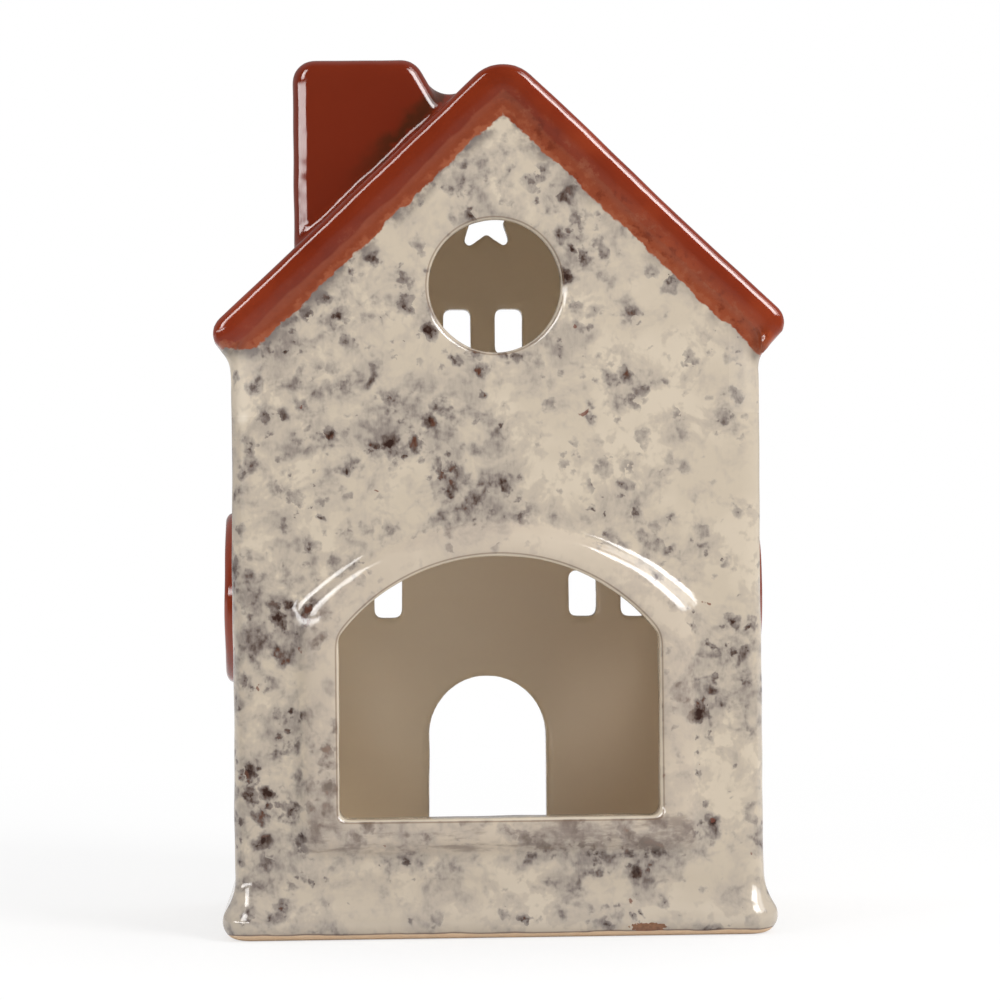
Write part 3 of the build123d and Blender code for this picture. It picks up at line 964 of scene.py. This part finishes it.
def tab_metal():
    """Return the wick tab's tinned sheet."""
    p = Painter("tab_metal")
    p.fill(p.shader, {"Metallic": 1})
    scuff = p.noise(0.8, detail=4, seed=2)
    colour = p.mix(p.noise(3, seed=1), paint(198, 198, 198), paint(178, 178, 176))
    return p.look(colour, scuff.blend(0.28, 0.5), scuff * 0.01)


def wick_cotton():
    """Return waxed cotton, with the threads of its plait."""
    p = Painter("wick_cotton")
    threads = p.noise(0.25, detail=3, seed=21, stretch=(1, 1, 0.4))
    colour = p.mix(threads, paint(214, 206, 186), paint(244, 240, 228))
    return p.look(colour, threads.blend(0.75, 0.55), threads * 0.05)


# The tealight's pieces are turned on its axis
AROUND = 144
cup_low, cup_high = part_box("tealight_cup")
wax_low, wax_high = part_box("tealight_wax")
wick_low, wick_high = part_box("tealight_wick")
tealight_axis = (cup_low + cup_high) / 2
cup_radius = (cup_high.x - cup_low.x) / 2
wick_radius = (wick_high.x - wick_low.x) / 2


def turned(name, profile, swell=lambda *place: 0):
    """Return a closed piece turned on the tealight's axis from a profile of (radius, height).

    swell says how much farther out a point lies, by its angle, radius and height.
    """
    mesh = bmesh.new()
    rings = []
    for radius, height in profile:
        ring = []
        for step in range(AROUND):
            angle = 2 * pi * step / AROUND
            reach = radius + swell(angle, radius, height)
            ring.append(mesh.verts.new((tealight_axis.x + reach * cos(angle),
                                        tealight_axis.y + reach * sin(angle), height)))
        rings.append(ring)
    for low, high in zip(rings, rings[1:]):
        for step in range(AROUND):
            after = (step + 1) % AROUND
            mesh.faces.new((low[step], low[after], high[after], high[step]))
    mesh.faces.new(rings[0][::-1])
    mesh.faces.new(rings[-1])
    bmesh.ops.recalc_face_normals(mesh, faces=mesh.faces)
    return as_object(name, mesh)


# The cup of thin sheet, the wax and the wick's plait
CUP_SHEET = 0.3 * MM
CUP_RIM = 0.5 * MM
CUP_CURVE = 1.2 * MM
CUP_FLUTES = 36
FLUTE_DEPTH = 0.12 * MM
FLUTE_BOTTOM = 3 * MM
WAX_GAP = 0.05 * MM
WAX_LIFT = 0.02 * MM
WAX_CREEP = 0.55 * MM
WICK_GAP = 0.1 * MM
WICK_STRANDS = 3
WICK_LAY = 3.2 * MM
WICK_GROOVE = 0.12 * MM
WICK_LEAN = 0.9 * MM


def arc(middle_radius, middle_height, radius, first, last, steps):
    """Return profile points along an arc, between two angles in degrees."""
    angles = [radians(first + (last - first) * step / steps) for step in range(steps + 1)]
    return [(middle_radius + radius * cos(a), middle_height + radius * sin(a)) for a in angles]


def cup_flute(angle, radius, height):
    """Return the shallow flutes that stiffen the cup's wall."""
    rise = min(max((height - cup_low.z - FLUTE_BOTTOM) / FLUTE_BOTTOM, 0), 1)
    fall = min(max((cup_high.z - 2 * CUP_RIM - height) / (2 * CUP_RIM), 0), 1)
    on_wall = radius > cup_radius - CUP_RIM - 2 * CUP_SHEET
    return -FLUTE_DEPTH * rise * fall * on_wall * (1 + cos(CUP_FLUTES * angle)) / 2


def tealight_cup():
    """Return the cup, drawn from thin sheet, with flutes and a rolled rim."""
    wall = cup_radius - CUP_RIM
    bottom, top = cup_low.z, cup_high.z - CUP_RIM
    outside = arc(wall - CUP_CURVE, bottom + CUP_CURVE, CUP_CURVE, -90, 0, 6)
    heights = np.linspace(bottom + CUP_CURVE, top - CUP_RIM, 12)[1:]
    outside += [(wall, height) for height in heights]
    rim = arc(wall, top, CUP_RIM, -70, 180, 12)
    inner = wall - CUP_SHEET
    inside = [(inner, height) for height in heights[::-1]]
    inside += arc(wall - CUP_CURVE, bottom + CUP_CURVE, CUP_CURVE - CUP_SHEET, 0, -90, 6)
    return turned("tealight_cup_drawn", outside + rim + inside, cup_flute)


def tealight_wax():
    """Return the wax, which creeps up the cup's wall and the wick a little."""
    reach = (wax_high.x - wax_low.x) / 2 - WAX_GAP - FLUTE_DEPTH
    bottom, top = wax_low.z + WAX_LIFT, wax_high.z
    profile = arc(reach - CUP_CURVE, bottom + CUP_CURVE, CUP_CURVE, -90, 0, 6)
    heights = np.linspace(bottom + CUP_CURVE, top + WAX_CREEP, 8)[1:]
    profile += [(reach, height) for height in heights]
    wick = wick_radius + WICK_GAP
    for share in np.linspace(0, 1, 22)[1:]:
        radius = reach + (wick - reach) * share
        creep = WAX_CREEP * (np.exp(-(reach - radius) / MM) + np.exp(-(radius - wick) / MM))
        profile.append((radius, top + creep))
    return turned("tealight_wax_fill", profile)


def tealight_wick():
    """Return the wick, plaited of strands, with its end leaning over."""
    top, end = wick_high.z, wick_radius / 2
    profile = [(wick_radius * 0.9, height) for height in np.linspace(wick_low.z, top - 2 * end, 60)]
    profile += arc(wick_radius * 0.4, top - end, end, 0, 80, 4)

    def plait(angle, _, height):
        """Return the grooves between the strands."""
        return WICK_GROOVE * cos(WICK_STRANDS * angle + 2 * pi * height / WICK_LAY)

    wick = turned("tealight_wick_plait", profile, plait)
    for vert in wick.data.vertices:
        lean = max(vert.co.z - wax_high.z, 0) / (top - wax_high.z)
        vert.co.x += WICK_LEAN * lean ** 2
    return wick


# Floor, light and camera
LENS = 137.7
CLIP_START = 0.01
CAMERA_PLACE = (-0.030, -0.894, 0.0974)
CAMERA_TARGET = (0.00064, -0.044, 0.0974)
CAMERA_ROLL = -0.6


def aimed(obj, place, target, roll=0):
    """Put the object at a place and turn it to the target."""
    obj.location = place
    obj.rotation_euler = (Vector(target) - Vector(place)).to_track_quat("-Z", "Y").to_euler()
    obj.rotation_euler.rotate_axis("Z", radians(roll))


def add_camera():
    """Look at the candle side from a little to the left, as the photograph does."""
    data = bpy.data.cameras.new("camera")
    data.lens = LENS
    data.clip_start = CLIP_START
    camera = add_object("camera", data)
    aimed(camera, CAMERA_PLACE, CAMERA_TARGET, CAMERA_ROLL)
    bpy.context.scene.camera = camera


LIGHT_DISTANCE = 1.3
LIGHT_TARGET = (0, 0, 0.1)


def add_softbox(name, azimuth, rise, size, power):
    """Light the object from an angle right of the candle side's middle and one above level."""
    data = bpy.data.lights.new(name, "AREA")
    data.shape = "RECTANGLE"
    data.size, data.size_y = size
    data.energy = power
    level = cos(radians(rise))
    away = Vector((sin(radians(azimuth)) * level, -cos(radians(azimuth)) * level, sin(radians(rise))))
    aimed(add_object(name, data), Vector(LIGHT_TARGET) + away * LIGHT_DISTANCE, LIGHT_TARGET)


def directly_seen(tree):
    """Return 1 for rays that show the background straight, and for those and gloss."""
    path = tree.node("ShaderNodeLightPath").outputs
    straight = tree.most(path["Is Camera Ray"], path["Is Transmission Ray"])
    return straight, tree.most(straight, path["Is Glossy Ray"])


def either(share, one, other):
    """Return the one number where the share is 1, and the other where it is 0."""
    return share * one + (1 - share) * other


def between(value, low, high):
    """Return 1 where an angle lies between two others, and 0 outside."""
    return (value.step(low - CARD_EDGE, low + CARD_EDGE, kind="LINEAR")
            * value.step(high + CARD_EDGE, high - CARD_EDGE, kind="LINEAR"))


# Levels of the light and of what gloss shows, in front of the object and behind it
LIGHT_FRONT = 0.58
LIGHT_BEHIND = 0.98
STUDIO_FRONT = 0.035
STUDIO_BEHIND = 0.4
FRONT_EDGE = -0.45
BEHIND_EDGE = 0.25

# White cards of the studio: (strength, azimuths, elevations) in degrees, as add_softbox's
CARD_EDGE = 0.6
CARDS = ((12.0, (-80, -18), (3.7, 9)),
         (0.7, (-58, -36), (-9, 2)),
         (10.0, (-52, -30), (14, 46)),
         (9.0, (29, 56), (18, 50)),
         (4.5, (56, 80), (20, 60)))


def add_world():
    """Light the object from all sides, less in front, where gloss shows white cards in the dim."""
    world = bpy.data.worlds.new("studio")
    bpy.context.scene.world = world
    tree = Nodes(world)
    straight, seen = directly_seen(tree)
    x, y, z = tree.parts(tree.node("ShaderNodeTexCoord").outputs["Generated"])
    lit = y.step(FRONT_EDGE, BEHIND_EDGE, LIGHT_FRONT, LIGHT_BEHIND)
    shown = y.step(FRONT_EDGE, BEHIND_EDGE, STUDIO_FRONT, STUDIO_BEHIND)
    azimuth = tree.math("DEGREES", tree.math("ARCTAN2", x, y * -1))
    elevation = tree.math("DEGREES", tree.math("ARCSINE", z))
    for strength, azimuths, elevations in CARDS:
        shown += between(azimuth, *azimuths) * between(elevation, *elevations) * strength
    strength = either(seen, either(straight, 1, shown), lit)
    tree.fill(tree.tree.nodes["Background"], {"Color": (1, 1, 1, 1), "Strength": strength})


# The floor's shadow fades from near to far off the object
FLOOR_SIZE = 6.0
FLOOR_NEAR = 0.16
FLOOR_FAR = 0.55
FLOOR_SHADE = 0.34
FLOOR_BOUNCE = 0.8
FLOOR_GLOSS_FRONT = 0.07
FLOOR_ROUGHNESS = 0.9


def add_floor():
    """Lay a pale floor that stays white and takes the object's shadow close to it."""
    mesh = bmesh.new()
    bmesh.ops.create_grid(mesh, x_segments=4, y_segments=4, size=FLOOR_SIZE / 2)
    floor = as_object("floor", mesh)
    material = bpy.data.materials.new("floor_white")
    tree = Nodes(material)
    place = Value(tree, tree.node("ShaderNodeTexCoord").outputs["Object"])
    shade = tree.math("LENGTH", place).step(FLOOR_NEAR, FLOOR_FAR, FLOOR_SHADE, 0)
    straight, seen = directly_seen(tree)
    gloss = tree.parts(place)[1].step(-FLOOR_NEAR, 0, FLOOR_GLOSS_FRONT, kind="LINEAR")
    shown = tree.most(straight, seen * gloss)
    level = either(seen, shade, FLOOR_BOUNCE)
    grey = tree.node("ShaderNodeCombineColor", Red=level, Green=level, Blue=level)
    tree.fill(tree.tree.nodes["Principled BSDF"], {
        "Base Color": grey.outputs[0], "Roughness": FLOOR_ROUGHNESS, "Specular IOR Level": 0,
        "Emission Color": (1, 1, 1, 1), "Emission Strength": shown * (1 - shade)})
    floor.data.materials.append(material)


# What each glazed piece stands for
WALL_NODES = ["foot_ring", "candle_side_wall", "street_side_wall", "left_side_wall",
              "right_side_wall", "candle_opening_arch", "candle_opening_sill", "door_surround",
              "upper_window_surround", "left_window_surround", "right_window_surround"]
STANDS_FOR = {
    "glazed_walls": ("wall_glaze", WALL_NODES),
    "raw_clay_base": ("raw_clay", ["floor_slab"]),
    "left_roof": ("roof_glaze", ["left_roof_slab"]),
    "right_roof": ("roof_glaze", ["right_roof_slab"]),
    "chimney_stack": ("roof_glaze", ["chimney"]),
    "left_window_ring": ("roof_glaze", ["left_side_window_ring"]),
    "right_window_ring": ("roof_glaze", ["right_side_window_ring"]),
}


def add_house():
    """Dress the house's nodes in the skin's pieces."""
    glaze = house_glaze()
    for name, piece in glazed_pieces().items():
        slot, nodes = STANDS_FOR[name]
        piece.data.materials.append(glaze)
        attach(piece, "house")
        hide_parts(*nodes)


def add_tealight():
    """Dress the tealight's nodes."""
    for piece, material, slot, node in (
            (tealight_cup(), cup_metal(), "cup_metal", "tealight_cup"),
            (tealight_wax(), wax(), "wax", "tealight_wax"),
            (tealight_wick(), wick_cotton(), "wick", "tealight_wick")):
        piece.data.materials.append(material)
        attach(piece, "tealight")
        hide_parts(node)
    tab = frame["nodes"]["tealight_wick_tab"].data
    tab.materials.clear()
    tab.materials.append(tab_metal())


add_camera()
add_world()
add_softbox("right_softbox", azimuth=42, rise=33, size=(0.46, 0.52), power=7.0)
add_softbox("left_softbox", azimuth=-44, rise=30, size=(0.26, 0.36), power=1.5)
add_floor()
add_house()
add_tealight()
bpy.context.scene.view_settings.view_transform = "Standard"
